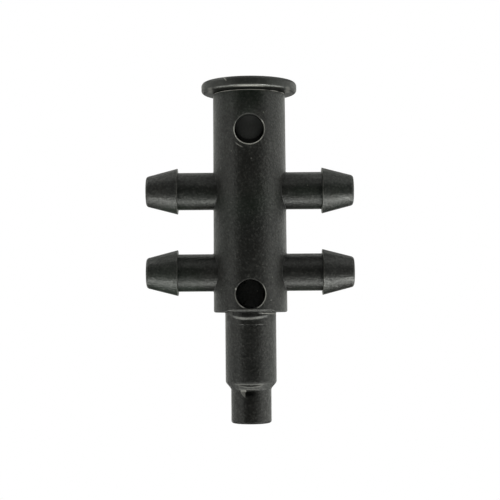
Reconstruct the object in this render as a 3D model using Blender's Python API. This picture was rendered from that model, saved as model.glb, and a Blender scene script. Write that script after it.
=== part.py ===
"""Four-outlet barbed manifold for micro-irrigation tube.

One moulded body carries a hollow barrel, four barbed outlets and a stepped
inlet stem.  A flanged plug pushes into the open top of the barrel and is
sealed by two O-rings, one above and one below the upper front window.

Frame: origin at the centre of the stem's lower end face, +Z up the barrel
towards the flange, outlets along -X and +X, front windows facing -Y.
Dimensions are in millimetres; the meshes are made in metres.
"""
import math

import bmesh
import bpy
from mathutils import Matrix, Vector

MM = 0.001

# Inlet stem
TIP_D = 4.48            # lower, narrow length of the stem
TIP_TOP_Z = 3.82        # where the step up to the stem begins
TIP_EDGE_R = 0.25       # rounded lower edge
STEM_D = 5.68
STEM_STEP_Z = 4.52      # where the step reaches the stem's diameter
STEM_BORE_D = 2.6
STEM_ROOT_C = 0.12      # sloping corner where stem meets barrel

# Barrel: slightly narrower at the head, as moulding draft
BARREL_FOOT_D = 8.20
BARREL_HEAD_D = 8.06
BARREL_BOTTOM_Z = 12.26
BARREL_TOP_Z = 36.68
BARREL_FOOT_C = 0.12    # chamfer round the lower edge
BARREL_HEAD_C = 0.10    # chamfer round the upper edge
CHAMBER_D = 5.2
CHAMBER_FLOOR_Z = 12.80
MOUTH_C = 0.30          # lead-in chamfer of the chamber's mouth

# Barbed outlets; X is the distance out from the barrel's axis
BARB_Z = {"lower": 16.69, "upper": 25.81}
BARB_SIDES = {"left": -1, "right": 1}
BARB_ROOT_X = 3.20      # the blank starts inside the barrel's wall
BARB_SHAFT_D = 4.17
BARB_RIDGE_D = 5.14
BARB_RIDGE_X = 8.05
BARB_NOSE_D = 3.24
BARB_NOSE_X = 11.58
BARB_NOSE_R = 0.20
BARB_NOSE_START = 12    # degrees: the nose's rounding starts near the cone's slope
BARB_BORE_D = 2.2

# Front windows
WINDOW_D = 3.2
WINDOW_Z = {"lower": 14.29, "upper": 32.31}
WINDOW_END_Y = -1.60    # the cut ends inside the chamber

DRILL_OVERRUN = 1.0     # how far a drill starts outside the body

# Flanged plug
FLANGE_D = 10.66
FLANGE_BOTTOM_Z = 36.83
FLANGE_TOP_Z = 37.95
FLANGE_TOP_R = 0.45
FLANGE_LOWER_R = 0.30
SKIRT_D = 5.10
SKIRT_BOTTOM_Z = 27.40
SKIRT_C = 0.30
CORE_D = 1.90           # blind core, open below
CORE_TOP_Z = 36.40
CORE_SHOULDER_R = 0.7       # facet corner of the domed roof, as a share of core radius
CORE_SHOULDER_DROP = 0.25   # its drop below the roof, as a share of core radius

# O-rings and their grooves
SEAL_Z = {"lower_o_ring": 29.40, "upper_o_ring": 35.15}
GROOVE_WIDTH = 1.30
GROOVE_ROOT_D = 3.30
SEAL_MID_D = 4.25       # diameter through the section's centre
SEAL_RADIAL = 0.90      # squeezed section, radial height
SEAL_AXIAL = 1.08       # squeezed section, axial width

# Segments round each turned form
BARREL_SEGMENTS = 48
BARB_SEGMENTS = 32
BORE_SEGMENTS = 24
WINDOW_SEGMENTS = 32
PLUG_SEGMENTS = 48
SEAL_SEGMENTS = 48
SEAL_SECTION_POINTS = 10

# Steps along each rounded edge
EDGE_STEPS = 3
FLANGE_TOP_STEPS = 4


# ------------------------------------------------------------------- helpers
def clear_scene():
    for item in list(bpy.data.objects):
        bpy.data.objects.remove(item, do_unlink=True)


def make_material(name, colour, roughness):
    material = bpy.data.materials.new(name)
    material.use_nodes = True
    shader = material.node_tree.nodes["Principled BSDF"]
    shader.inputs["Base Color"].default_value = (*colour, 1.0)
    shader.inputs["Roughness"].default_value = roughness
    material.diffuse_color = (*colour, 1.0)
    return material


def arc(centre_r, centre_z, radius, start_deg, end_deg, steps=EDGE_STEPS):
    """Points of an arc in the (radius, height) plane, ends included."""
    points = []
    for i in range(steps + 1):
        angle = math.radians(start_deg + (end_deg - start_deg) * i / steps)
        points.append((centre_r + radius * math.cos(angle),
                       centre_z + radius * math.sin(angle)))
    return points


def turned(name, profile, segments, closed=False):
    """Turn a profile of (radius, height) points round +Z.

    An open profile starts and ends on the axis; a closed one is a ring
    section that never touches it.  The turn starts half a segment round, so
    that flats rather than edges face along X and Y.
    """
    bm = bmesh.new()
    half_segment = Matrix.Rotation(math.pi / segments, 3, "Z")
    verts = [bm.verts.new(half_segment @ Vector((radius * MM, 0.0, z * MM)))
             for radius, z in profile]
    edges = [bm.edges.new(pair) for pair in zip(verts, verts[1:])]
    if closed:
        edges.append(bm.edges.new((verts[-1], verts[0])))
    bmesh.ops.spin(
        bm, geom=verts + edges, cent=(0, 0, 0), axis=(0, 0, 1),
        angle=2 * math.pi, steps=segments, use_merge=False, use_duplicate=False,
    )
    # Weld the seam and the points on the axis, then face the surface outwards.
    bmesh.ops.remove_doubles(bm, verts=bm.verts, dist=1e-7)
    bmesh.ops.dissolve_degenerate(bm, edges=bm.edges, dist=1e-8)
    bmesh.ops.recalc_face_normals(bm, faces=bm.faces)
    if bm.calc_volume(signed=True) < 0:
        bmesh.ops.reverse_faces(bm, faces=bm.faces)
    mesh = bpy.data.meshes.new(name)
    bm.to_mesh(mesh)
    bm.free()
    form = bpy.data.objects.new(name, mesh)
    bpy.context.collection.objects.link(form)
    return form


def turned_tool(name, profile, segments, location, rotation):
    """A hidden solid for a boolean, placed in millimetres."""
    tool = turned(name, profile, segments)
    tool.location = Vector(location) * MM
    tool.rotation_euler = rotation
    tool.hide_render = True
    tool.display_type = "WIRE"
    return tool


def boolean(target, tool, operation):
    modifier = target.modifiers.new(f"{operation.lower()} {tool.name}", "BOOLEAN")
    modifier.operation = operation
    modifier.solver = "EXACT"
    modifier.object = tool


def finish(piece, material, sharp_deg=28.0):
    """Add the material and shade smooth, with edges sharp above an angle."""
    piece.data.materials.append(material)
    piece.data.shade_smooth()
    piece.data.set_sharp_from_angle(angle=math.radians(sharp_deg))


def attach(piece, joint):
    """Parent a piece to the joint without moving it."""
    piece.parent = joint
    piece.matrix_parent_inverse = Matrix.Translation(joint.location).inverted()


# --------------------------------------------------------------------- body
def body_profile():
    """Ring section of barrel and stem: up the outside, down the waterway."""
    tip_r = TIP_D / 2
    stem_r = STEM_D / 2
    foot_r = BARREL_FOOT_D / 2
    head_r = BARREL_HEAD_D / 2
    bore_r = STEM_BORE_D / 2
    chamber_r = CHAMBER_D / 2
    return [
        (bore_r, 0.0),
        *arc(tip_r - TIP_EDGE_R, TIP_EDGE_R, TIP_EDGE_R, start_deg=-90, end_deg=0),
        (tip_r, TIP_TOP_Z),
        (stem_r, STEM_STEP_Z),
        (stem_r, BARREL_BOTTOM_Z - STEM_ROOT_C),
        (stem_r + STEM_ROOT_C, BARREL_BOTTOM_Z),
        (foot_r - BARREL_FOOT_C, BARREL_BOTTOM_Z),
        (foot_r, BARREL_BOTTOM_Z + BARREL_FOOT_C),
        (head_r, BARREL_TOP_Z - BARREL_HEAD_C),
        (head_r - BARREL_HEAD_C, BARREL_TOP_Z),
        (chamber_r + MOUTH_C, BARREL_TOP_Z),
        (chamber_r, BARREL_TOP_Z - MOUTH_C),
        (chamber_r, CHAMBER_FLOOR_Z),
        (bore_r, CHAMBER_FLOOR_Z),
    ]


def barb_profile():
    """Half section: straight shaft, sharp-backed ridge, cone, rounded nose."""
    slope = (BARB_RIDGE_D - BARB_NOSE_D) / 2 / (BARB_NOSE_X - BARB_RIDGE_X)
    cone_r = BARB_NOSE_D / 2 + slope * BARB_NOSE_R    # where the rounding is centred
    return [
        (0.0, BARB_ROOT_X),
        (BARB_SHAFT_D / 2, BARB_ROOT_X),
        (BARB_SHAFT_D / 2, BARB_RIDGE_X),
        (BARB_RIDGE_D / 2, BARB_RIDGE_X),
        *arc(cone_r - BARB_NOSE_R, BARB_NOSE_X - BARB_NOSE_R, BARB_NOSE_R,
             start_deg=BARB_NOSE_START, end_deg=90),
        (0.0, BARB_NOSE_X),
    ]


def drill(name, diameter, length, segments, location, rotation):
    """A plain round cutter, centred on its location."""
    radius, half = diameter / 2, length / 2
    profile = [(0.0, -half), (radius, -half), (radius, half), (0.0, half)]
    return turned_tool(name, profile, segments, location, rotation)


def add_barbs(body):
    for level, z in BARB_Z.items():
        for label, side in BARB_SIDES.items():
            blank = turned_tool(f"{level}_{label}_barb_blank", barb_profile(), BARB_SEGMENTS,
                                location=(0, 0, z), rotation=(0, side * math.pi / 2, 0))
            boolean(body, blank, "UNION")


def drill_outlets(body):
    """Each bore runs right across, through a left and a right barb."""
    for level, z in BARB_Z.items():
        cutter = drill(f"{level}_outlet_drill", BARB_BORE_D,
                       2 * (BARB_NOSE_X + DRILL_OVERRUN), BORE_SEGMENTS,
                       location=(0, 0, z), rotation=(0, math.pi / 2, 0))
        boolean(body, cutter, "DIFFERENCE")


def drill_windows(body):
    start_y = -BARREL_FOOT_D / 2 - DRILL_OVERRUN
    for level, z in WINDOW_Z.items():
        cutter = drill(f"{level}_window_drill", WINDOW_D, WINDOW_END_Y - start_y,
                       WINDOW_SEGMENTS, location=(0, (start_y + WINDOW_END_Y) / 2, z),
                       rotation=(math.pi / 2, 0, 0))
        boolean(body, cutter, "DIFFERENCE")


def make_body(material):
    body = turned("manifold_body", body_profile(), BARREL_SEGMENTS, closed=True)
    add_barbs(body)
    drill_outlets(body)
    drill_windows(body)
    finish(body, material)


# --------------------------------------------------------------------- plug
def plug_profile():
    """Half section of the plug, from the core's roof out and over the flange."""
    flange_r = FLANGE_D / 2
    skirt_r = SKIRT_D / 2
    core_r = CORE_D / 2
    groove_r = GROOVE_ROOT_D / 2
    profile = [
        (0.0, CORE_TOP_Z),
        (core_r * CORE_SHOULDER_R, CORE_TOP_Z - core_r * CORE_SHOULDER_DROP),
        (core_r, CORE_TOP_Z - core_r),
        (core_r, SKIRT_BOTTOM_Z),
        (skirt_r - SKIRT_C, SKIRT_BOTTOM_Z),
        (skirt_r, SKIRT_BOTTOM_Z + SKIRT_C),
    ]
    for z in SEAL_Z.values():
        low, high = z - GROOVE_WIDTH / 2, z + GROOVE_WIDTH / 2
        profile += [(skirt_r, low), (groove_r, low), (groove_r, high), (skirt_r, high)]
    profile += [
        (skirt_r, FLANGE_BOTTOM_Z),
        *arc(flange_r - FLANGE_LOWER_R, FLANGE_BOTTOM_Z + FLANGE_LOWER_R, FLANGE_LOWER_R,
             start_deg=-90, end_deg=0),
        *arc(flange_r - FLANGE_TOP_R, FLANGE_TOP_Z - FLANGE_TOP_R, FLANGE_TOP_R,
             start_deg=0, end_deg=90, steps=FLANGE_TOP_STEPS),
        (0.0, FLANGE_TOP_Z),
    ]
    return profile


def make_plug(material, joint):
    plug = turned("flanged_plug", plug_profile(), PLUG_SEGMENTS)
    attach(plug, joint)
    finish(plug, material)


# -------------------------------------------------------------------- seals
def seal_section():
    """Oval section of an O-ring squeezed radially by the chamber."""
    section = []
    for i in range(SEAL_SECTION_POINTS):
        angle = 2 * math.pi * i / SEAL_SECTION_POINTS
        section.append((SEAL_MID_D / 2 + SEAL_RADIAL / 2 * math.cos(angle),
                        SEAL_AXIAL / 2 * math.sin(angle)))
    return section


def make_seals(material, joint):
    for name, z in SEAL_Z.items():
        seal = turned(name, seal_section(), SEAL_SEGMENTS, closed=True)
        seal.location.z = z * MM
        attach(seal, joint)
        finish(seal, material, sharp_deg=60.0)


def make_plug_axis():
    """Empty at the barrel's top, on whose axis the plug and seals slide and turn."""
    axis = bpy.data.objects.new("plug_axis", None)
    axis.location.z = BARREL_TOP_Z * MM
    bpy.context.collection.objects.link(axis)
    return axis


def main():
    clear_scene()
    body_black = make_material("moulded black plastic",
                               colour=(0.021, 0.022, 0.021), roughness=0.52)
    plug_black = make_material("moulded black plastic, plug",
                               colour=(0.022, 0.023, 0.022), roughness=0.46)
    rubber = make_material("nitrile rubber",
                           colour=(0.012, 0.012, 0.012), roughness=0.62)
    axis = make_plug_axis()
    make_body(body_black)
    make_plug(plug_black, axis)
    make_seals(rubber, axis)


main()
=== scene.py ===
"""Looks of the four-outlet barbed manifold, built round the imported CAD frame.

The manifold stands upright on the z axis: narrow tip at z = 0, stem, wide barrel, and a flanged
plug with two O-rings in the barrel's open top.  Two barbs run along x on each side, and two
round windows look to the front (-y, the camera side).

The moulded body is meshed from a distance field of its turned, bored and filleted forms, so that
roots, rims and edges have real roundings.  The plug and the O-rings are turned meshes.  Sizes are
in millimetres, in the frame of the CAD part, unless noted.
"""
import math

import bmesh
import bpy
import numpy as np
from mathutils import Matrix, Vector


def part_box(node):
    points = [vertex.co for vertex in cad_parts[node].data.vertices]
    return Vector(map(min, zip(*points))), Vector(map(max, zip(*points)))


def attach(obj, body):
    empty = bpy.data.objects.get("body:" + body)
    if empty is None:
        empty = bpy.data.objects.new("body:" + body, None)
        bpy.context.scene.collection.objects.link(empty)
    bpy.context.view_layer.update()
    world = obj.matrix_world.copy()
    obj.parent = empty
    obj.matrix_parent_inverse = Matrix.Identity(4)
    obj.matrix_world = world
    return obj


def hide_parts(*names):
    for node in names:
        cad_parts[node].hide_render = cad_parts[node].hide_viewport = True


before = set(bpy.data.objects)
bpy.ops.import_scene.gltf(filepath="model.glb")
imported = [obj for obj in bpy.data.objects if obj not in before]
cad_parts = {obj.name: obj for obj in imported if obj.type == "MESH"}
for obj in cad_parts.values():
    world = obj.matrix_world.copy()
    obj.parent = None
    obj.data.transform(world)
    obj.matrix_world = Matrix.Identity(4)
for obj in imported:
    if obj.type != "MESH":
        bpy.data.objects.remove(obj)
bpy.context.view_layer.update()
MM = 0.001

# ------------------------------------------------------------ sizes, from CAD
_, body_hi = (np.array(v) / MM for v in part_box("manifold_body"))
plug_lo, plug_hi = (np.array(v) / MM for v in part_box("flanged_plug"))
SEALS = ("lower_o_ring", "upper_o_ring")
SEAL_Z = {name: float(sum(np.array(v)[2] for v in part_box(name))) / 2 / MM for name in SEALS}

# barrel radius at its foot and head, then the stem and the tip
FOOT_R, HEAD_R, STEM_R, TIP_R = 4.10, 4.03, 2.84, 2.24
BARREL_TOP = float(body_hi[2])
SHOULDER_Z = 12.26
CHAMBER_R, CHAMBER_FLOOR, BORE_R = 2.6, 12.80, 1.3
BARB_Z = (16.69, 25.81)
NOSE_X = float(body_hi[0])
RIDGE_X, SHAFT_R, RIDGE_R = 8.05, 2.085, 2.57
OUTLET_R = 1.1
WINDOW_Z, WINDOW_R = (14.29, 32.31), 1.6
FLANGE_SEAT = 36.72
# pad on the stem's front: its low edge is a skewed parabola about PAD_X
PAD_X, PAD_LOW, PAD_BEND, PAD_SKEW, PAD_SKEW_WIDTH = -0.4, 11.43, 0.076, 0.028, 1.8
# flash under the shoulder: height at FLASH_X, and fall per mm to the right
FLASH_X, FLASH_Z, FLASH_FALL = 0.7, 12.25, 0.07


# ------------------------------------------------------------- distance field
def smin(a, b, blend):
    """Union of two fields with a fillet of about the blend size."""
    share = np.clip(0.5 + 0.5 * (b - a) / blend, 0.0, 1.0)
    return b + (a - b) * share - blend * share * (1.0 - share)


def smax(a, b, blend):
    return -smin(-a, -b, blend)


def step01(t):
    t = np.clip(t, 0.0, 1.0)
    return t * t * (3.0 - 2.0 * t)


def drum(radial, z, radius, bottom, top, edge):
    """A round drum about the axis with its edges rounded."""
    over_r = radial - radius + edge
    over_z = np.abs(z - (bottom + top) / 2) - (top - bottom) / 2 + edge
    return (np.hypot(np.maximum(over_r, 0), np.maximum(over_z, 0))
            + np.minimum(np.maximum(over_r, over_z), 0) - edge)


def pad_height(x, y, z):
    """Relief of the stem's front: a low pad under the shoulder, a fine groove below it, flash."""
    front = step01((-y - 0.4) / 1.0)
    side = 1.0 - step01((np.abs(x + 0.10) - 1.80) / 0.50)
    skew = PAD_SKEW * np.tanh((x - PAD_X) / PAD_SKEW_WIDTH)
    low = PAD_LOW + (PAD_BEND - skew) * (x - PAD_X) ** 2
    pad = 0.16 * step01((z - low) / 0.36) * side * (z < 12.9)
    across = 1.0 - step01((np.abs(x) - 1.35) / 0.5)
    groove = -0.030 * np.exp(-((z - 10.87) / 0.055) ** 2) * across
    # flash hanging under the shoulder on the right
    line = FLASH_Z - FLASH_FALL * (x - FLASH_X)
    flash = 0.05 * np.exp(-((z - line) / 0.05) ** 2) * step01((x - 0.6) / 0.3) * (x < 2.75)
    return front * (pad + groove + flash)


def dent(x, y, z):
    """Shallow dent in the tip's front, just under the step."""
    front = (y < 0) & (z < 3.95)
    scoop = np.exp(-(((x + 0.28) / 0.42) ** 2 + ((z - 3.42) / 0.36) ** 2))
    return 0.055 * scoop * front


def stem_and_tip(x, y, z, radial):
    tip = drum(radial, z, TIP_R, 0.0, 6.0, edge=0.25) + dent(x, y, z)
    chamfer = 0.759 * (radial - TIP_R) - 0.651 * (z - 3.80)
    stem = smax(drum(radial, z, STEM_R, 3.0, 12.9, edge=0.02), chamfer, blend=0.13)
    near = (z > 3.0) & (z < 13.0)
    return smin(tip, stem, blend=0.15) - np.where(near, pad_height(x, y, z), 0.0)


def barrel_field(x, y, z, radial):
    """The barrel has draft; its foot is cut a little higher at the front."""
    lift = 0.17 * step01((-y - 1.2) / 0.8) * (1.0 - step01((np.abs(x) - 2.35) / 0.35))
    radius = FOOT_R + (HEAD_R - FOOT_R) * (z - SHOULDER_Z) / (BARREL_TOP - SHOULDER_Z)
    straight = radial - radius + FOOT_R
    # one drum rounds the foot, the other rounds the top
    return np.maximum(drum(straight, z - lift, FOOT_R, SHOULDER_Z, 44.0, edge=0.20),
                      drum(straight, z, FOOT_R, 5.0, BARREL_TOP, edge=0.09))


def barb_field(side, around):
    """A left and right pair of barbs; side is |x|, around the distance from their centre line."""
    shaft = np.maximum(around - SHAFT_R, side - 8.3)
    cone = 0.968 * (around - RIDGE_R) + 0.252 * (side - RIDGE_X)
    head = smax(cone, side - NOSE_X, blend=0.30)
    head = smax(head, RIDGE_X - side, blend=0.05)
    return smin(shaft, head, blend=0.06)


def body_sdf(x, y, z):
    """The whole body: the outer forms, less the waterways and windows."""
    radial = np.hypot(x, y)
    field = smin(stem_and_tip(x, y, z, radial), barrel_field(x, y, z, radial), blend=0.14)
    for barb_z in BARB_Z:
        field = smin(field, barb_field(np.abs(x), np.hypot(y, z - barb_z)), blend=0.09)
    chamber = drum(radial, z, CHAMBER_R, CHAMBER_FLOOR, 60.0, edge=0.06)
    mouth = np.maximum(0.7071 * ((radial - CHAMBER_R) - (z - BARREL_TOP + 0.3)), 34.0 - z)
    field = smax(field, -np.minimum(chamber, mouth), blend=0.05)
    field = smax(field, -np.maximum(radial - BORE_R, z - 13.4), blend=0.08)
    for barb_z in BARB_Z:
        field = smax(field, -(np.hypot(y, z - barb_z) - OUTLET_R), blend=0.10)
    for window_z in WINDOW_Z:
        hole = np.maximum(np.hypot(x, z - window_z) - WINDOW_R, y + 1.6)
        field = smax(field, -hole, blend=0.12)
    return field


# ------------------------------------------------- surface nets on a fitted grid
def fitted_axis(lo, hi, coarse, zones):
    """Grid lines from lo to hi: coarse spacing, and finer in each (start, end, step) zone."""
    lines, at = [lo], lo
    while at < hi:
        step = coarse
        for start, end, fine in zones:
            if start - 1e-9 <= at < end - 1e-9:
                step = min(step, fine)
            elif at < start < at + step:
                step = max(start - at, fine)
        at += step
        lines.append(at)
    return np.array(lines)


def shifted(cells, across, shift):
    moved = cells.copy()
    moved[:, across] += shift
    return moved


def surface_nets(field, grids, slab=48):
    """Quads of the zero surface of field over a rectilinear grid, one vertex per crossed cell."""
    xs, ys, zs = grids
    values = np.empty([len(lines) for lines in grids], np.float32)
    # filled slab by slab to spare memory
    for start in range(0, len(xs), slab):
        part = slice(start, start + slab)
        values[part] = field(*np.meshgrid(xs[part], ys, zs, indexing="ij"))
    inside = values < 0
    shape = tuple(len(lines) - 1 for lines in grids)
    total = np.zeros((*shape, 3), np.float32)
    count = np.zeros(shape, np.int16)
    crossings = []
    for axis in range(3):
        lo = [slice(None)] * 3
        hi = [slice(None)] * 3
        lo[axis], hi[axis] = slice(0, -1), slice(1, None)
        lo, hi = tuple(lo), tuple(hi)
        cross = np.argwhere(inside[lo] != inside[hi])
        here = tuple(cross.T)
        before, after = values[lo][here], values[hi][here]
        share = before / (before - after)
        point = np.stack([grids[k][cross[:, k]] for k in range(3)], axis=1).astype(np.float32)
        width = np.diff(grids[axis])[cross[:, axis]]
        point[:, axis] += (share * width).astype(np.float32)
        across = [k for k in range(3) if k != axis]
        for shift in ((0, 0), (0, -1), (-1, 0), (-1, -1)):
            cell = shifted(cross, across, shift)
            valid = np.all((cell >= 0) & (cell < np.array(shape)), axis=1)
            key = tuple(cell[valid].T)
            np.add.at(total, key, point[valid])
            np.add.at(count, key, 1)
        crossings.append((cross, inside[lo][here]))
    cells = tuple(np.argwhere(count > 0).T)
    index = -np.ones(shape, np.int64)
    index[cells] = np.arange(len(cells[0]))
    verts = total[cells] / count[cells][:, None]
    quads = []
    # the pair of axes across each one, in right-handed order
    for across, (cross, starts_in) in zip(([1, 2], [2, 0], [0, 1]), crossings):
        ring = np.stack([index[tuple(shifted(cross, across, shift).T)]
                         for shift in ((-1, -1), (0, -1), (0, 0), (-1, 0))], axis=1)
        ring[~starts_in] = ring[~starts_in][:, ::-1]
        quads.append(ring)
    return verts.astype(np.float64), np.concatenate(quads)


def gradient(field, points, reach=0.004):
    slope = np.empty_like(points)
    for k in range(3):
        probe = points.copy()
        probe[:, k] += reach
        ahead = field(*probe.T)
        probe[:, k] -= 2 * reach
        slope[:, k] = (ahead - field(*probe.T)) / (2 * reach)
    return slope


def settle(field, points, rounds):
    """Moves points onto the zero surface along the field's gradient."""
    for _ in range(rounds):
        slope = gradient(field, points)
        square = np.maximum((slope * slope).sum(axis=1), 0.05)
        move = (field(*points.T) / square)[:, None] * slope
        points = points - np.clip(move, -0.08, 0.08)
    return points


# ---------------------------------------------------------------- mesh helpers
def link_object(name, data):
    obj = bpy.data.objects.new(name, data)
    bpy.context.scene.collection.objects.link(obj)
    return obj


def new_object(name, verts, faces):
    mesh = bpy.data.meshes.new(name)
    mesh.from_pydata((np.asarray(verts) * MM).tolist(), [], [tuple(face) for face in faces])
    mesh.update()
    return link_object(name, mesh)


def coords(mesh):
    flat = np.empty(len(mesh.vertices) * 3, np.float32)
    mesh.vertices.foreach_get("co", flat)
    return flat.reshape(-1, 3).astype(np.float64) / MM


def put_inside(mesh, inside):
    """Stores the mask of the surfaces that face the waterways."""
    layer = mesh.attributes.new("inside", "FLOAT", "POINT")
    layer.data.foreach_set("value", inside.astype(np.float32))


# ------------------------------------------------------------------------ body
FINE = 0.105
COARSE = 0.30
MAX_FACES = 188_000


def body_grid():
    """Grid lines along x, y and z, finest at edges, fillets and the marks on the stem."""
    xs = fitted_axis(-NOSE_X - 0.25, NOSE_X + 0.25, COARSE, [
        (-NOSE_X - 0.25, -NOSE_X + 0.35, 0.055), (-NOSE_X + 0.3, -RIDGE_X - 0.1, 0.16),
        (-RIDGE_X - 0.12, -RIDGE_X + 0.12, 0.03),
        (-4.7, 4.7, FINE),
        (RIDGE_X - 0.12, RIDGE_X + 0.12, 0.03),
        (RIDGE_X + 0.1, NOSE_X - 0.3, 0.16), (NOSE_X - 0.35, NOSE_X + 0.3, 0.055)])
    ys = fitted_axis(-4.25, 4.25, FINE, [])
    zs = fitted_axis(-0.25, BARREL_TOP + 0.25, COARSE, [
        (-0.25, 0.40, 0.05), (3.60, 4.70, 0.05), (10.7, 11.1, 0.04), (11.1, 12.0, 0.06),
        (12.0, 12.95, 0.045), (12.9, 19.4, FINE), (23.1, 28.4, FINE), (30.3, 34.2, FINE),
        (BARREL_TOP - 0.45, BARREL_TOP + 0.25, 0.045)])
    return xs, ys, zs


def triangulate(mesh):
    edit = bmesh.new()
    edit.from_mesh(mesh)
    bmesh.ops.triangulate(edit, faces=edit.faces)
    bmesh.ops.dissolve_degenerate(edit, edges=edit.edges, dist=2e-6)
    loose = [v for v in edit.verts if not v.link_faces]
    bmesh.ops.delete(edit, geom=loose, context="VERTS")
    edit.to_mesh(mesh)
    edit.free()


def thin_out(obj):
    """Thins the mesh, but the marks on the stem's and tip's front keep their full mesh."""
    x, y, z = coords(obj.data).T
    marked = ((y < -0.8) & (np.abs(x) < 2.6)
              & (((z > 10.7) & (z < 12.7)) | ((z > 2.8) & (z < 4.7))))
    group = obj.vertex_groups.new(name="plain")
    group.add(np.nonzero(~marked)[0].tolist(), 1.0, "REPLACE")
    thin = obj.modifiers.new("thin", "DECIMATE")
    thin.ratio = MAX_FACES / len(obj.data.polygons)
    thin.vertex_group = "plain"
    thin.vertex_group_factor = 1.0
    graph = bpy.context.evaluated_depsgraph_get()
    thinned = bpy.data.meshes.new_from_object(obj.evaluated_get(graph), depsgraph=graph)
    obj.modifiers.remove(thin)
    obj.data = thinned
    thinned.name = "manifold_body_skin"


def body_inside(x, y, z):
    radial = np.hypot(x, y)
    inside = (((radial < CHAMBER_R + 0.04) & (z > CHAMBER_FLOOR - 0.05))
              | (radial < BORE_R + 0.03))
    for barb_z in BARB_Z:
        inside |= np.hypot(y, z - barb_z) < OUTLET_R + 0.03
    for window_z in WINDOW_Z:
        inside |= (np.hypot(x, z - window_z) < WINDOW_R + 0.02) & (y < 0) & (radial < 3.75)
    return inside


def build_body():
    verts, quads = surface_nets(body_sdf, body_grid())
    obj = new_object("manifold_body_skin", settle(body_sdf, verts, rounds=3), quads)
    triangulate(obj.data)
    if len(obj.data.polygons) > MAX_FACES:
        thin_out(obj)
    mesh = obj.data
    points = settle(body_sdf, coords(mesh), rounds=2)
    mesh.vertices.foreach_set("co", (points * MM).astype(np.float32).ravel())
    mesh.update()
    mesh.shade_smooth()
    normals = gradient(body_sdf, points)
    normals /= np.maximum(np.linalg.norm(normals, axis=1), 1e-9)[:, None]
    mesh.normals_split_custom_set_from_vertices(normals.tolist())
    put_inside(mesh, body_inside(*points.T))
    return obj


# ------------------------------------------------------------- turned meshes
def arc(centre_r, centre_z, radius, start_deg, end_deg, steps):
    angles = np.radians(np.linspace(start_deg, end_deg, steps + 1))
    return [(centre_r + radius * math.cos(a), centre_z + radius * math.sin(a)) for a in angles]


def turned(name, profile, segments, closed):
    """Turns (radius, height) points round the axis; an open profile has both ends on the axis."""
    ring = profile if closed else profile[1:-1]
    size = len(ring)
    verts, faces = [], []
    for i in range(segments):
        angle = 2 * math.pi * i / segments
        cos, sin = math.cos(angle), math.sin(angle)
        verts += [(radius * cos, radius * sin, z) for radius, z in ring]
    for i in range(segments):
        j = (i + 1) % segments
        for k in range(size if closed else size - 1):
            k2 = (k + 1) % size
            faces.append((i * size + k, j * size + k, j * size + k2, i * size + k2))
    if not closed:
        first, last = len(verts), len(verts) + 1
        verts += [(0.0, 0.0, profile[0][1]), (0.0, 0.0, profile[-1][1])]
        for i in range(segments):
            j = (i + 1) % segments
            faces.append((first, j * size, i * size))
            faces.append((last, i * size + size - 1, j * size + size - 1))
    obj = new_object(name, verts, faces)
    edit = bmesh.new()
    edit.from_mesh(obj.data)
    bmesh.ops.recalc_face_normals(edit, faces=edit.faces)
    if edit.calc_volume(signed=True) < 0:
        bmesh.ops.reverse_faces(edit, faces=edit.faces)
    edit.to_mesh(obj.data)
    edit.free()
    return obj


FLANGE_R, SKIRT_R = 5.33, 2.55
CORE_R, CORE_TOP = 0.95, 36.40      # domed hollow in the plug
GROOVE_R, GROOVE_HALF = 1.65, 0.65  # floor radius and half height of a seal groove
GROOVE_LIP, GROOVE_ROOT = 0.05, 0.08  # roundings of its outer and inner corners


def groove_profile(middle):
    low, high = middle - GROOVE_HALF, middle + GROOVE_HALF
    lip, root = GROOVE_LIP, GROOVE_ROOT
    return (arc(SKIRT_R - lip, low - lip, lip, 0, 90, 3)
            + arc(GROOVE_R + root, low + root, root, 270, 180, 3)
            + arc(GROOVE_R + root, high - root, root, 180, 90, 3)
            + arc(SKIRT_R - lip, high + lip, lip, -90, 0, 3))


def build_plug():
    low, top, seat = float(plug_lo[2]), float(plug_hi[2]), FLANGE_SEAT
    # up the hollow's wall in reverse: dome, wall, then the skirt's rounded lower end
    profile = [(0.0, CORE_TOP)]
    profile += arc(0.0, CORE_TOP - CORE_R, CORE_R, 88, 0, 10)
    profile += [(CORE_R, 33.0), (CORE_R, 30.0), (CORE_R, low + 0.12)]
    profile += arc(CORE_R + 0.12, low + 0.12, 0.12, 180, 270, 4)
    profile += [(SKIRT_R - 0.34, low)]
    profile += arc(SKIRT_R - 0.30, low + 0.30, 0.30, -90, 0, 7)
    for name in SEALS:
        profile += groove_profile(SEAL_Z[name])
    # the flange: root, underside, rounded rim and flat top
    profile += [(SKIRT_R, 36.20), (SKIRT_R, seat - 0.10)]
    profile += arc(SKIRT_R + 0.10, seat - 0.10, 0.10, 180, 90, 4)
    profile += [(3.3, seat), (4.1, seat)]
    profile += arc(FLANGE_R - 0.42, seat + 0.42, 0.42, -90, -6, 14)
    profile += arc(FLANGE_R - 0.43, top - 0.43, 0.43, 2, 90, 14)
    profile += [(radius, top) for radius in (4.3, 3.4, 2.4, 1.2, 0.0)]
    obj = turned("flanged_plug_skin", profile, 224, closed=False)
    obj.data.shade_smooth()
    obj.data.set_sharp_from_angle(angle=math.radians(50))
    x, y, z = coords(obj.data).T
    put_inside(obj.data, (np.hypot(x, y) < 3.0) & (z < seat))
    return obj


def build_seal(name):
    section = []
    for i in range(28):
        angle = 2 * math.pi * i / 28
        cos, sin = math.cos(angle), math.sin(angle)
        # squeezed section: flattened where it bears on the bore and the groove
        section.append(((GROOVE_R + CHAMBER_R) / 2 + 0.45 * math.copysign(abs(cos) ** 0.86, cos),
                        0.54 * sin))
    obj = turned(name + "_skin", section, 160, closed=True)
    obj.data.transform(Matrix.Translation((0, 0, SEAL_Z[name] * MM)))
    obj.data.shade_smooth()
    return obj


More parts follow.
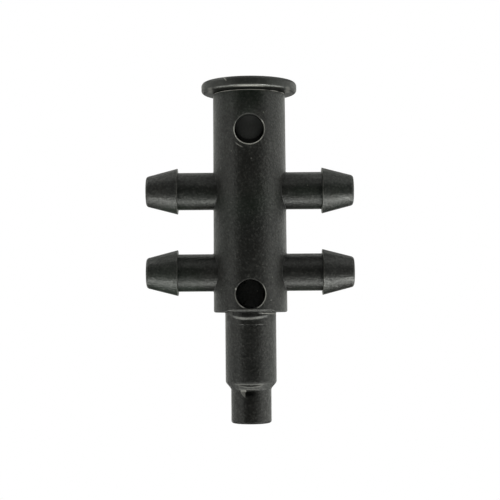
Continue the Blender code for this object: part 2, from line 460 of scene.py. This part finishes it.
# ----------------------------------------------------------------- materials
class Net:
    """Helper round a material's node tree; masks run from 0 to 1."""

    def __init__(self, name):
        self.mat = bpy.data.materials.new(name)
        self.mat.use_nodes = True
        self.tree = self.mat.node_tree
        self.bsdf = self.tree.nodes["Principled BSDF"]
        self.pos = self.add("ShaderNodeTexCoord").outputs["Object"]

    def place(self):
        """Adds object coordinates in mm, distance from the axis, and a mask of the front."""
        split = self.add("ShaderNodeSeparateXYZ")
        self.feed(split.inputs[0], self.pos)
        self.x, self.y, self.z = [self.times(split.outputs[i], 1000.0) for i in range(3)]
        self.radial = self.length(self.x, self.y)
        self.front = self.fall(self.y, -1.2, to=-0.9)

    def add(self, kind, **props):
        node = self.tree.nodes.new(kind)
        for key, value in props.items():
            setattr(node, key, value)
        return node

    def feed(self, socket, value):
        if isinstance(value, (int, float, tuple)):
            socket.default_value = value
        else:
            self.tree.links.new(value, socket)

    def shade(self, name, value):
        self.feed(self.bsdf.inputs[name], value)

    def math(self, op, a, b=0.0, clamp=False):
        node = self.add("ShaderNodeMath", operation=op, use_clamp=clamp)
        self.feed(node.inputs[0], a)
        self.feed(node.inputs[1], b)
        return node.outputs[0]

    def times(self, product, *factors):
        for factor in factors:
            product = self.math("MULTIPLY", product, factor)
        return product

    def plus(self, a, b):
        return self.math("ADD", a, b)

    def minus(self, a, b):
        return self.math("SUBTRACT", a, b)

    def larger(self, a, b):
        return self.math("MAXIMUM", a, b)

    def strongest(self, first, weighted):
        """The largest of first and every mask times its strength."""
        for mask, strength in weighted:
            first = self.larger(first, self.times(mask, strength))
        return first

    def length(self, a, b):
        return self.math("SQRT", self.plus(self.times(a, a), self.times(b, b)))

    def noise(self, scale, detail, rough=0.5, distort=0.0):
        node = self.add("ShaderNodeTexNoise")
        for key, value in (("Scale", scale), ("Detail", detail), ("Roughness", rough),
                           ("Distortion", distort), ("Vector", self.pos)):
            self.feed(node.inputs[key], value)
        return node.outputs["Fac"]

    def ramp(self, value, start, to, out=(0.0, 1.0), kind="SMOOTHSTEP"):
        """Goes from out[0] to out[1] as value goes from start to to."""
        node = self.add("ShaderNodeMapRange", interpolation_type=kind)
        for key, setting in (("Value", value), ("From Min", start), ("From Max", to),
                             ("To Min", out[0]), ("To Max", out[1])):
            self.feed(node.inputs[key], setting)
        return node.outputs[0]

    def rise(self, value, start, to):
        return self.ramp(value, start, to)

    def fall(self, value, start, to):
        return self.ramp(value, start, to, out=(1.0, 0.0))

    def band(self, value, middle, half, soft):
        """1 where value is within half of middle, falling to 0 over soft."""
        off = self.math("ABSOLUTE", self.minus(value, middle))
        return self.fall(off, half, to=half + soft)

    def inside(self):
        return self.add("ShaderNodeAttribute", attribute_name="inside").outputs["Fac"]

    def mix(self, factor, a, b):
        node = self.add("ShaderNodeMix", data_type="RGBA")
        self.feed(node.inputs[0], factor)
        self.feed(node.inputs[6], a)
        self.feed(node.inputs[7], b)
        return node.outputs[2]

    def bump(self, height, distance, strength):
        node = self.add("ShaderNodeBump")
        self.feed(node.inputs["Distance"], distance)
        self.feed(node.inputs["Strength"], strength)
        self.feed(node.inputs["Height"], height)
        self.shade("Normal", node.outputs["Normal"])


# colours for painted shade (the black) and for pale marks and painted highlights (the pale white)
PAINTED_SHADE_BLACK = (0.002, 0.002, 0.002, 1.0)
GREEN_CAST = (0.0055, 0.0125, 0.0070, 1.0)
SPECK_GREY = (0.058, 0.058, 0.053, 1.0)
PALE_MARK_AND_HIGHLIGHT_WHITE = (0.60, 0.59, 0.55, 1.0)
DUST_GREY = (0.17, 0.18, 0.15, 1.0)


def dust_mask(net):
    """Sparse dots, more of them in the waterways."""
    dots = net.add("ShaderNodeTexVoronoi", feature="F1")
    net.feed(dots.inputs["Scale"], 1250.0)
    net.feed(dots.inputs["Vector"], net.pos)
    near = net.fall(dots.outputs["Distance"], 0.05, to=0.12)
    pick = net.add("ShaderNodeSeparateColor")
    net.feed(pick.inputs[0], dots.outputs["Color"])
    chosen = net.larger(net.rise(pick.outputs[0], 0.945, to=0.960),
                        net.times(net.inside(), net.rise(pick.outputs[1], 0.90, to=0.92)))
    return net.times(near, chosen)


def plastic_colour(net, base, warm, inside_painted_light, pale_marks_and_highlights, painted_shade, dust):
    """Slow drift, a faint green cast in places, fine speckle, painted light inside, marks and
    dust.
    """
    drift = net.noise(scale=190.0, detail=3.0)
    colour = net.mix(net.rise(drift, 0.35, to=0.68), base, warm)
    cast = net.rise(net.noise(scale=95.0, detail=2.0, distort=0.4), 0.50, to=0.70)
    colour = net.mix(net.times(cast, 0.55), colour, GREEN_CAST)
    speck = net.rise(net.noise(scale=4300.0, detail=2.0), 0.50, to=0.80)
    colour = net.mix(net.times(speck, 0.54), colour, SPECK_GREY)
    # painted light: the surfaces inside the waterways get a lighter colour
    colour = net.mix(net.inside(), colour, inside_painted_light)
    # painted shade: darkened towards the black where the shade mask is set
    colour = net.mix(net.times(painted_shade, 0.8), colour, PAINTED_SHADE_BLACK)
    # pale marks (wear, dust grains, flash) and painted highlights
    colour = net.mix(net.math("MULTIPLY", pale_marks_and_highlights, 1.0, clamp=True), colour, PALE_MARK_AND_HIGHLIGHT_WHITE)
    return net.mix(net.times(dust, 0.6), colour, DUST_GREY)


def plastic_roughness(net, middle, polished, satin, dust):
    rough = net.ramp(net.noise(scale=420.0, detail=4.0), 0.25, to=0.75,
                     out=(middle - 0.05, middle + 0.05))
    fleck = net.ramp(net.noise(scale=3300.0, detail=2.0), 0.30, to=0.70, out=(-0.035, 0.035))
    rough = net.plus(rough, fleck)
    rough = net.minus(rough, net.times(polished, 0.20))
    rough = net.plus(rough, net.times(dust, 0.3))
    rough = net.plus(rough, net.times(satin, 0.24))
    return net.plus(rough, net.times(net.inside(), 0.4))


def black_plastic(name, base, warm, inside_painted_light, roughness, grain, marks):
    """Moulded black plastic: matt grain, mottled sheen, dust, and the marks given by marks(net).

    The colour for the surfaces inside the waterways is lighter than outside, as painted light.
    marks returns four masks: pale marks and painted highlights, glossy places, painted shade, and
    places with a softer sheen.
    """
    net = Net(name)
    net.place()
    pale_marks_and_highlights, polished, painted_shade, satin = marks(net)
    dust = dust_mask(net)
    net.shade("Base Color", plastic_colour(net, base, warm, inside_painted_light, pale_marks_and_highlights, painted_shade, dust))
    net.shade("Roughness", plastic_roughness(net, roughness, polished, satin, dust))
    net.shade("IOR", 1.5)
    # uneven sheen, almost none where shade is painted
    sheen = net.ramp(net.noise(scale=3600.0, detail=2.0, rough=0.55), 0.28, to=0.72,
                     out=(0.51 - 0.12 * grain, 0.51 + 0.12 * grain))
    net.shade("Specular IOR Level", net.times(sheen, net.minus(1.0, net.times(painted_shade, 0.94))))
    # relief: fine grain and faint waves, calmer where shade is painted and in the polished places
    fine = net.noise(scale=4300.0, detail=2.0, rough=0.55)
    wave = net.noise(scale=900.0, detail=2.0)
    height = net.plus(fine, net.times(wave, 0.25))
    calm = net.math("SUBTRACT", net.minus(1.0, net.times(painted_shade, 0.5)),
                    net.times(polished, 1.8), clamp=True)
    net.bump(height, distance=0.00015 * grain, strength=net.times(calm, 0.30))
    return net.mat


# grains of dust on the barrel's front: x, z, radius, brightness
GRAINS = ((-1.98, 29.93, 0.045, 0.11), (0.20, 29.05, 0.050, 0.13), (0.06, 34.75, 0.035, 0.05),
          (2.25, 13.60, 0.045, 0.12), (-2.05, 24.30, 0.035, 0.07), (1.45, 21.60, 0.035, 0.06))


def nick_highlight_mask(net):
    """Painted highlight on the facet of the tip's dent, between a curved left edge and a sloping
    right edge.
    """
    drop = net.ramp(net.z, 2.90, to=3.65, out=(1.0, 0.0), kind="LINEAR")
    left = net.plus(-1.20, net.times(net.times(drop, drop), 0.54))
    right = net.ramp(net.z, 3.42, to=3.64, out=(-0.68, -0.57))
    return net.times(net.rise(net.minus(net.x, left), 0.0, to=0.05),
                     net.fall(net.minus(net.x, right), -0.02, to=0.04),
                     net.band(net.z, 3.32, half=0.40, soft=0.04), net.front)


def window_marks(net):
    """Pale (mask, strength) pairs: rings round the windows, part edge wear, part painted
    highlight, fainter above.
    """
    x, front = net.x, net.front
    uneven = net.ramp(net.noise(scale=330.0, detail=3.0, rough=0.6), 0.36, to=0.62,
                      out=(0.45, 1.15))
    marks = []
    for window_z, bright in zip(WINDOW_Z, (0.42, 0.60)):
        up = net.minus(net.z, window_z)
        ring = net.band(net.length(x, up), WINDOW_R + 0.075, half=0.025, soft=0.05)
        right = net.times(net.rise(x, 1.1, to=1.4), net.band(up, 0.1, half=0.6, soft=0.5))
        # fainter above: the painted highlight falls off towards the top
        faded = net.ramp(up, -0.9, to=1.3, out=(1.0, 0.06))
        ring = net.times(ring, net.larger(faded, right), front, uneven)
        if window_z == WINDOW_Z[0]:
            # the lower ring stops where the foot is cut
            ring = net.times(ring, net.rise(up, -1.56, to=-1.44))
        marks.append((ring, bright))
    # pale spot on the lower ring
    marks.append((net.times(net.band(x, -1.60, half=0.05, soft=0.07),
                            net.band(net.z, 14.84, half=0.06, soft=0.08), front), 0.40))
    # stray arc low on the left of the upper window
    up = net.minus(net.z, WINDOW_Z[1])
    marks.append((net.times(net.band(net.length(x, up), 2.12, half=0.02, soft=0.06),
                            net.band(x, -1.10, half=0.20, soft=0.30),
                            net.fall(up, -1.2, to=-1.0), front), 0.25))
    return marks


def barrel_marks(net, broken, soft):
    """Pale (mask, strength) pairs: painted highlights on the barrel's edges and the pad below,
    dust and flash.
    """
    x, z, front = net.x, net.z, net.front
    # painted highlight along the barrel's upper edge, broken up
    marks = [(net.times(net.band(z, BARREL_TOP - 0.06, half=0.03, soft=0.05),
                        net.rise(net.radial, HEAD_R - 0.22, to=HEAD_R - 0.14), broken), 0.80)]
    for grain_x, grain_z, size, bright in GRAINS:
        off = net.length(net.minus(x, grain_x), net.minus(z, grain_z))
        marks.append((net.times(net.fall(off, size, to=size + 0.07), front), bright))
    # pale line along the cut foot of the barrel, flash with painted highlight; pale flash hanging
    # on the right
    marks.append((net.times(net.band(z, 12.50, half=0.015, soft=0.04),
                            net.band(x, 0.05, half=2.35, soft=0.35), front, broken), 0.060))
    level = net.plus(z, net.times(net.minus(x, FLASH_X), FLASH_FALL))
    marks.append((net.times(net.band(level, FLASH_Z, half=0.02, soft=0.05),
                            net.band(x, 1.80, half=0.80, soft=0.25), front, broken), 0.34))
    # lip between the lower window and the cut foot
    marks.append((net.times(net.band(z, 12.60, half=0.03, soft=0.07),
                            net.band(x, 0.0, half=0.55, soft=0.25), front, soft), 0.06))
    # painted highlight along the lower edge of the pad
    off = net.plus(x, -PAD_X)
    skew = net.times(net.math("TANH", net.math("DIVIDE", off, PAD_SKEW_WIDTH)), PAD_SKEW)
    bend = net.minus(PAD_BEND, skew)
    pad_low = net.plus(PAD_LOW + 0.15, net.times(net.times(off, off), bend))
    marks.append((net.times(net.band(net.minus(z, pad_low), 0.0, half=0.06, soft=0.11),
                            net.band(x, -0.15, half=0.9, soft=1.1), front), 0.085))
    return marks


def ridge_marks(net, broken):
    """Worn (mask, strength) pairs: pale ridges of the barbs."""
    marks = []
    for barb_z in BARB_Z:
        around = net.length(net.y, net.minus(net.z, barb_z))
        ridge = net.times(net.band(net.math("ABSOLUTE", net.x), RIDGE_X + 0.03,
                                   half=0.03, soft=0.05),
                          net.rise(around, RIDGE_R - 0.12, to=RIDGE_R - 0.08))
        marks.append((net.times(ridge, broken), 0.075))
    return marks


def step_highlights(net, above, soft):
    """Painted highlight (mask, strength) pairs: arcs over and under the lens, and where step
    meets tip.
    """
    x, z, front = net.x, net.z, net.front
    return [(net.times(net.band(z, 4.40, half=0.045, soft=0.05),
                       net.band(x, -0.15, half=1.30, soft=0.60), front, soft), 0.095),
            (net.times(net.band(above, -0.065, half=0.025, soft=0.05),
                       net.band(x, -0.1, half=1.2, soft=0.30), front, soft), 0.125),
            (net.times(net.band(z, 3.83, half=0.025, soft=0.05),
                       net.band(x, -0.20, half=0.85, soft=0.45), front, soft), 0.10)]


def body_painted_shade(net, nick_highlight, lens):
    """Painted shade on the body, and a darker rim round the tip's foot."""
    x, z, radial, front = net.x, net.z, net.radial, net.front
    # painted shade in the scoop beside the highlight facet and under the barrel's cut foot; the
    # lens adds a painted dark reflection
    scoop = net.times(net.band(x, -0.20, half=0.26, soft=0.70),
                      net.band(z, 3.38, half=0.12, soft=0.42), front, net.minus(1.0, nick_highlight))
    under = net.times(net.band(z, 12.15, half=0.22, soft=0.14),
                      net.band(x, 0.0, half=1.9, soft=0.8), front)
    painted_shade = net.larger(net.strongest(scoop, [(under, 0.15)]), lens)
    # painted shade at the barbs' roots
    marks = []
    for barb_z in BARB_Z:
        around = net.length(net.y, net.minus(z, barb_z))
        root = net.times(net.fall(around, SHAFT_R + 0.02, to=SHAFT_R + 0.55),
                         net.fall(radial, FOOT_R + 0.06, to=FOOT_R + 0.14))
        marks.append((root, 0.28))
    # painted shade on the upper walls and upper edges of the windows
    for window_z in WINDOW_Z:
        up = net.minus(z, window_z)
        wall = net.times(net.fall(net.length(x, up), WINDOW_R + 0.02, to=WINDOW_R + 0.07),
                         net.rise(up, -0.2, to=0.8), front, net.rise(radial, 2.7, to=2.75))
        edge = net.times(net.band(net.length(x, up), WINDOW_R + 0.06, half=0.06, soft=0.04),
                         net.rise(up, 0.7, to=1.4), front)
        marks += [(wall, 0.75), (edge, 0.5)]
    # a darker rim round the tip's foot, and painted shade down the front of the tip
    foot = net.times(net.fall(z, 0.12, to=0.30), net.rise(radial, TIP_R - 0.34, to=TIP_R - 0.22))
    shade = net.times(net.fall(z, 3.70, to=3.90), net.band(x, 0.0, half=0.2, soft=1.4), front)
    return net.strongest(painted_shade, marks + [(foot, 0.8), (shade, 0.32)])


def body_marks(net):
    x, z, front = net.x, net.z, net.front
    broken = net.ramp(net.noise(scale=1100.0, detail=3.0), 0.34, to=0.56, out=(0.12, 1.0))
    soft = net.ramp(net.noise(scale=620.0, detail=2.0), 0.30, to=0.55, out=(0.45, 1.0))
    # painted highlight on the dent's facet, stronger towards its top
    nick_highlight = nick_highlight_mask(net)
    nick_highlight_strength = net.ramp(z, 3.54, to=3.62, out=(0.165, 0.33))
    # painted dark reflection on the step (the lens), with a curved lower edge; above is the
    # height over that edge
    bow = net.math("POWER", net.math("DIVIDE", net.plus(x, 0.10), 1.20), 2.0)
    above = net.minus(z, net.plus(4.15, net.times(bow, 0.14)))
    lens = net.times(net.rise(above, -0.02, to=0.02), net.fall(z, 4.29, to=4.33),
                     net.band(x, -0.1, half=1.1, soft=0.2), front)
    pale_marks_and_highlights = net.strongest(0.0, window_marks(net) + barrel_marks(net, broken, soft)
                         + ridge_marks(net, broken) + [(nick_highlight, nick_highlight_strength)]
                         + step_highlights(net, above, soft))
    # polished places: the pad under the shoulder and the step
    pad = net.times(net.band(z, 11.75, half=0.40, soft=0.15),
                    net.band(x, 0.0, half=1.9, soft=0.5))
    step = net.times(net.band(z, 4.24, half=0.20, soft=0.08),
                     net.band(x, -0.1, half=0.9, soft=0.7))
    polished = net.times(net.strongest(net.times(pad, 0.32), [(step, 0.25)]), front)
    # satin places: the step's edges and the pad's lower edge
    satin = net.strongest(net.band(z, 4.15, half=0.42, soft=0.12),
                          [(net.band(z, 11.62, half=0.24, soft=0.10), 0.6)])
    return pale_marks_and_highlights, polished, body_painted_shade(net, nick_highlight, lens), net.times(satin, front)


def plug_marks(net):
    x, y, z = net.x, net.y, net.z
    broken = net.ramp(net.noise(scale=900.0, detail=3.0), 0.30, to=0.60, out=(0.35, 1.0))
    outer = net.rise(net.radial, 4.70, to=4.85)
    rim = net.times(net.band(z, FLANGE_SEAT + 0.14, half=0.055, soft=0.08), outer,
                    net.fall(y, -4.3, to=-2.6))
    # painted highlight along the front of the flange's lower rim, brightest at the middle
    glint = net.times(rim, net.plus(net.times(net.band(x, 0.1, half=0.5, soft=1.4), 0.6),
                                    net.times(net.band(x, 0.1, half=0.6, soft=2.8), 0.4)))
    # slanting scratch and chips on the rim
    slant = net.plus(x, net.times(net.minus(z, 37.7), 0.75))
    scratch = net.times(net.band(slant, -2.62, half=0.03, soft=0.06),
                        net.rise(z, 37.45, to=37.52))
    chips = net.times(net.rise(net.noise(scale=1500.0, detail=2.0), 0.66, to=0.72),
                      net.band(z, 37.86, half=0.06, soft=0.06))
    # painted highlight on the corners where the rim's underside turns in to the barrel
    corner_highlight = net.times(net.band(net.math("ABSOLUTE", x), 4.28, half=0.05, soft=0.36),
                       net.fall(z, FLANGE_SEAT + 0.20, to=FLANGE_SEAT + 0.34),
                       net.fall(y, -1.0, to=-0.5))
    pale_marks_and_highlights = net.strongest(net.times(net.times(scratch, net.front, outer), 0.40),
                         [(net.times(chips, outer), 0.20), (net.times(rim, broken), 0.04),
                          (glint, 0.34), (corner_highlight, 0.110)])
    # painted shade on the underside and the low sides of the rim
    under = net.times(net.fall(z, FLANGE_SEAT + 0.02, to=FLANGE_SEAT + 0.07),
                      net.rise(net.radial, 2.9, to=3.1),
                      net.ramp(y, -3.2, to=1.0, out=(1.0, 0.75)))
    side = net.times(net.fall(z, FLANGE_SEAT + 0.12, to=FLANGE_SEAT + 0.40),
                     net.rise(net.math("ABSOLUTE", x), 3.0, to=4.2), outer)
    return pale_marks_and_highlights, rim, net.strongest(under, [(side, 0.5)]), 0.0


def seal_rubber():
    net = Net("seal rubber")
    film = net.rise(net.noise(scale=260.0, detail=3.0), 0.35, to=0.70)
    net.shade("Base Color", net.mix(film, (0.010, 0.010, 0.010, 1.0), (0.018, 0.018, 0.017, 1.0)))
    net.shade("Roughness", net.ramp(film, 0.0, to=1.0, out=(0.62, 0.34)))
    net.bump(net.noise(scale=3800.0, detail=2.0), distance=0.000006, strength=0.4)
    return net.mat


# --------------------------------------------------------------------- stage
WHITE = (1.0, 1.0, 1.0, 1.0)


def stage_material(name):
    """A white sweep that shows as even white, and lets a camera below look through it."""
    mat = bpy.data.materials.new(name)
    mat.use_nodes = True
    tree = mat.node_tree
    tree.nodes.clear()
    out = tree.nodes.new("ShaderNodeOutputMaterial")
    glow = tree.nodes.new("ShaderNodeEmission")
    glow.inputs["Color"].default_value = WHITE
    glow.inputs["Strength"].default_value = 1.0
    clear = tree.nodes.new("ShaderNodeBsdfTransparent")
    side = tree.nodes.new("ShaderNodeNewGeometry")
    mix = tree.nodes.new("ShaderNodeMixShader")
    tree.links.new(side.outputs["Backfacing"], mix.inputs[0])
    tree.links.new(glow.outputs[0], mix.inputs[1])
    tree.links.new(clear.outputs[0], mix.inputs[2])
    tree.links.new(mix.outputs[0], out.inputs["Surface"])
    return mat


def build_floor():
    bpy.ops.mesh.primitive_plane_add(size=3.0, location=(0, 0, -0.0002))
    floor = bpy.context.object
    floor.name = "floor"
    floor.data.materials.append(stage_material("white floor"))
    floor.visible_diffuse = False
    floor.visible_glossy = False
    floor.visible_transmission = False
    floor.visible_shadow = False


# name: azimuth (0 = camera side, + = right), elevation, width, height (mm), power (mW)
LIGHTS = {
    "below": (0.0, -75.0, 130.0, 60.0, 215.0),
    "low_front_left": (-48.0, -48.0, 80.0, 70.0, 268.0),
    "low_front_right": (48.0, -48.0, 80.0, 70.0, 350.0),
    "low_left": (-95.0, -45.0, 130.0, 130.0, 235.0),
    "low_right": (95.0, -45.0, 130.0, 130.0, 355.0),
    "back": (180.0, 0.0, 90.0, 240.0, 60.0),
    "left_front": (-58.0, 0.0, 70.0, 240.0, 79.0),
    "left": (-80.0, 0.0, 70.0, 240.0, 36.0),
    "left_rear": (-105.0, 0.0, 70.0, 240.0, 64.0),
    "left_far": (-130.0, 0.0, 70.0, 240.0, 66.0),
    "left_back": (-155.0, 0.0, 70.0, 240.0, 72.0),
    "right_front": (58.0, 0.0, 70.0, 240.0, 74.0),
    "right": (80.0, 0.0, 70.0, 240.0, 95.0),
    "right_rear": (105.0, 0.0, 70.0, 240.0, 93.0),
    "right_far": (130.0, 0.0, 70.0, 240.0, 95.0),
    "right_back": (155.0, 0.0, 70.0, 240.0, 80.0),
    "top_front_low": (0.0, 42.0, 220.0, 70.0, 30.0),
    "top_front": (0.0, 60.0, 220.0, 70.0, 37.0),
    "top": (0.0, 90.0, 220.0, 70.0, 100.0),
    "top_right": (50.0, 48.0, 130.0, 110.0, 49.0),
    "high_left": (-95.0, 45.0, 130.0, 130.0, 177.0),
    "high_right": (95.0, 45.0, 130.0, 130.0, 95.0),
    "high_back": (180.0, 50.0, 240.0, 120.0, 100.0),
}
LIGHT_DISTANCE = 260.0
LIGHT_TARGET_Z = 20.0
LIGHT_TINT = (0.983, 1.0, 0.945)
AMBIENT = (0.010, 0.010, 0.010, 1.0)
# narrow beams into the two windows: start (mm), aim height on the barrel's front (mm), power (mW)
SNOOTS = {
    "lower_window_beam": ((0.0, -140.0, 15.5), WINDOW_Z[0], 84.0),
    "upper_window_beam": ((0.0, -128.0, -24.0), WINDOW_Z[1] + 0.25, 235.0),
}


def add_light(name, kind, power, place, direction):
    data = bpy.data.lights.new(name, kind)
    data.energy = power * MM
    data.color = LIGHT_TINT
    obj = link_object(name, data)
    obj.location = place
    obj.rotation_mode = "QUATERNION"
    obj.rotation_quaternion = direction.to_track_quat("-Z", "Y")
    return obj


def build_lights():
    target = Vector((0.0, 0.0, LIGHT_TARGET_Z * MM))
    for name, (azimuth, elevation, width, height, power) in LIGHTS.items():
        turn, tilt = math.radians(azimuth), math.radians(elevation)
        back = Vector((math.sin(turn) * math.cos(tilt), -math.cos(turn) * math.cos(tilt),
                       math.sin(tilt)))
        obj = add_light(name, "AREA", power, target + back * LIGHT_DISTANCE * MM, -back)
        obj.data.shape = "RECTANGLE"
        obj.data.size, obj.data.size_y = width * MM, height * MM
        obj.visible_camera = False


def build_snoots():
    for name, (start, aim_z, power) in SNOOTS.items():
        start, aim = Vector(start) * MM, Vector((0.0, -4.0, aim_z)) * MM
        data = add_light(name, "SPOT", power, start, aim - start).data
        data.spot_size = math.radians(1.6)
        data.spot_blend = 0.4
        data.shadow_soft_size = 0.0005


def build_world():
    """White to the camera, almost black as a light."""
    world = bpy.data.worlds.new("studio")
    bpy.context.scene.world = world
    world.use_nodes = True
    tree = world.node_tree
    tree.nodes.clear()
    out = tree.nodes.new("ShaderNodeOutputWorld")
    path = tree.nodes.new("ShaderNodeLightPath")
    mix = tree.nodes.new("ShaderNodeMixShader")
    tree.links.new(path.outputs["Is Camera Ray"], mix.inputs[0])
    for slot, colour in ((1, AMBIENT), (2, WHITE)):
        background = tree.nodes.new("ShaderNodeBackground")
        background.inputs["Color"].default_value = colour
        tree.links.new(background.outputs[0], mix.inputs[slot])
    tree.links.new(mix.outputs[0], out.inputs["Surface"])


def build_camera():
    """Looks along +y, pitched up a little; its place is in metres."""
    data = bpy.data.cameras.new("camera")
    data.sensor_width = 36.0
    data.lens = 89.7
    data.clip_start, data.clip_end = 0.005, 10.0
    camera = link_object("camera", data)
    pitch, roll = math.radians(2.16), math.radians(-0.47)
    turn = Matrix.Rotation(math.pi / 2 + pitch, 4, "X") @ Matrix.Rotation(roll, 4, "Z")
    camera.matrix_world = Matrix.Translation((-0.00002, -0.1392, 0.01396)) @ turn
    bpy.context.scene.camera = camera


# ---------------------------------------------------------------------- main
def dress(obj, material, piece, group):
    obj.data.materials.append(material)
    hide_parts(piece)
    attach(obj, group)


skin = build_body()
plug = build_plug()
seals = [build_seal(name) for name in SEALS]

body_mat = black_plastic(
    "black moulded plastic", base=(0.0070, 0.0073, 0.0068, 1.0),
    warm=(0.0108, 0.0107, 0.0097, 1.0), inside_painted_light=(0.0140, 0.0145, 0.0140, 1.0),
    roughness=0.395, grain=1.0, marks=body_marks)
plug_mat = black_plastic(
    "black moulded plastic plug", base=(0.0150, 0.0152, 0.0146, 1.0),
    warm=(0.0195, 0.0192, 0.0178, 1.0), inside_painted_light=(0.0240, 0.0248, 0.0240, 1.0),
    roughness=0.46, grain=0.40, marks=plug_marks)
rubber = seal_rubber()

dress(skin, body_mat, "manifold_body", "manifold")
dress(plug, plug_mat, "flanged_plug", "plug")
for seal, name in zip(seals, SEALS):
    dress(seal, rubber, name, "seals")

build_floor()
build_lights()
build_snoots()
build_world()
build_camera()

view = bpy.context.scene.view_settings
view.view_transform = "Standard"
view.look = "None"
view.exposure = 0.0
view.gamma = 1.0
